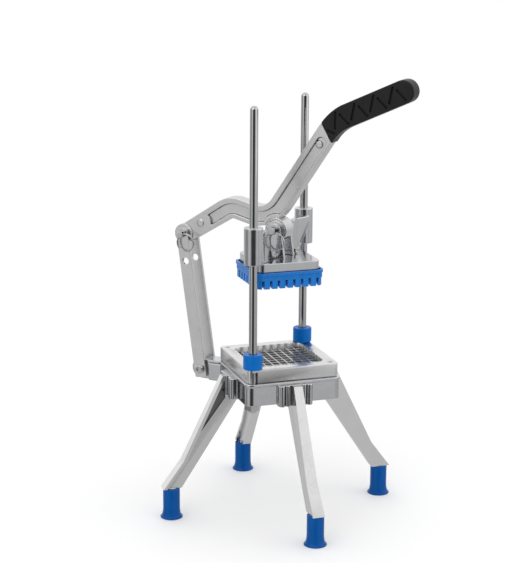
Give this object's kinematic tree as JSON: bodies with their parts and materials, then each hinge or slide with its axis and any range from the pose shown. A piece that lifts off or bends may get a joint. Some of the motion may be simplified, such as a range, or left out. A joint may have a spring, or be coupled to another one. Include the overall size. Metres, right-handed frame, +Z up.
{
  "type": "french fry cutter",
  "caption": "Upright lever press that pushes a potato through a square grid of blades over four splayed legs.",
  "frame": {"origin": "on the floor at the centre of the four feet, below the centre of the blade grid", "axes": "+Z up along the guide rods; X and Y along the sides of the square base, one leg on each; the lever swings in the upright plane through the base's corners, its grip towards +X and -Y"},
  "size_m": [0.3058, 0.3058, 0.5496],
  "materials": {
    "cast_aluminium": "satin cast",
    "bar_aluminium": "satin",
    "polished_steel": "polished",
    "blade_steel": "ground",
    "bearing_plastic": "plain",
    "blue_rubber": "smooth",
    "blue_plastic": "smooth",
    "grip_rubber": "satin"
  },
  "bodies": {
    "base": {"base_casting": "cast_aluminium", "leg_right": "cast_aluminium", "leg_back": "cast_aluminium", "leg_left": "cast_aluminium", "leg_front": "cast_aluminium", "foot_right": "blue_rubber", "foot_back": "blue_rubber", "foot_left": "blue_rubber", "foot_front": "blue_rubber", "leg_bolts": "polished_steel", "guide_rod_front": "polished_steel", "guide_rod_back": "polished_steel", "rod_nuts": "polished_steel", "rod_bumper_front": "blue_rubber", "rod_bumper_back": "blue_rubber", "blade_frame": "cast_aluminium", "blades_lengthwise": "blade_steel", "blades_crosswise": "blade_steel", "frame_screws": "polished_steel", "lug_sleeve": "bearing_plastic", "link_bolt": "polished_steel", "link_nut": "polished_steel"},
    "head": {"pusher_head": "cast_aluminium", "guide_sleeve_front": "bearing_plastic", "guide_sleeve_back": "bearing_plastic", "pusher_block": "blue_plastic", "pusher_screws": "polished_steel", "pusher_washers": "polished_steel", "hub_pin": "polished_steel"},
    "lever": {"lever": "cast_aluminium", "grip": "grip_rubber", "eye_pin": "polished_steel", "hub_sleeve": "bearing_plastic"},
    "link": {"link_bar_front": "bar_aluminium", "link_bar_rear": "bar_aluminium", "link_pin": "polished_steel"},
    "link_ring": {"link_pin_ring": "polished_steel"},
    "hub_ring": {"hub_pin_ring": "polished_steel"}
  },
  "joints": [
    {"name": "head_slide", "type": "slide", "parent": "base", "child": "head", "axis": [0, 0, 1], "range_m": [-0.1107, 0]},
    {"name": "lever_pivot", "type": "hinge", "parent": "head", "child": "lever", "pos_m": [0, 0, 0.358], "axis": [0.7071, 0.7071, 0], "range_deg": [0, 54.85]},
    {"name": "link_pivot", "type": "hinge", "parent": "base", "child": "link", "pos_m": [-0.07283, 0.07283, 0.169], "axis": [0.7071, 0.7071, 0], "range_deg": [0, 13.36]},
    {"name": "link_ring_swing", "type": "hinge", "parent": "link", "child": "link_ring", "pos_m": [-0.10331, 0.07771, 0.34099], "axis": [-0.5721, 0.5721, -0.5878], "range_deg": [-4, 150]},
    {"name": "hub_ring_swing", "type": "hinge", "parent": "head", "child": "hub_ring", "pos_m": [-0.01351, -0.01351, 0.3566], "axis": [-0.6645, 0.6645, -0.342], "range_deg": [-4, 14]}
  ],
  "couplings": [
    {"joint": "lever_pivot", "follows": "head_slide", "rad_per_m": -8.6431},
    {"joint": "link_pivot", "follows": "head_slide", "rad_per_m": -2.1029}
  ]
}
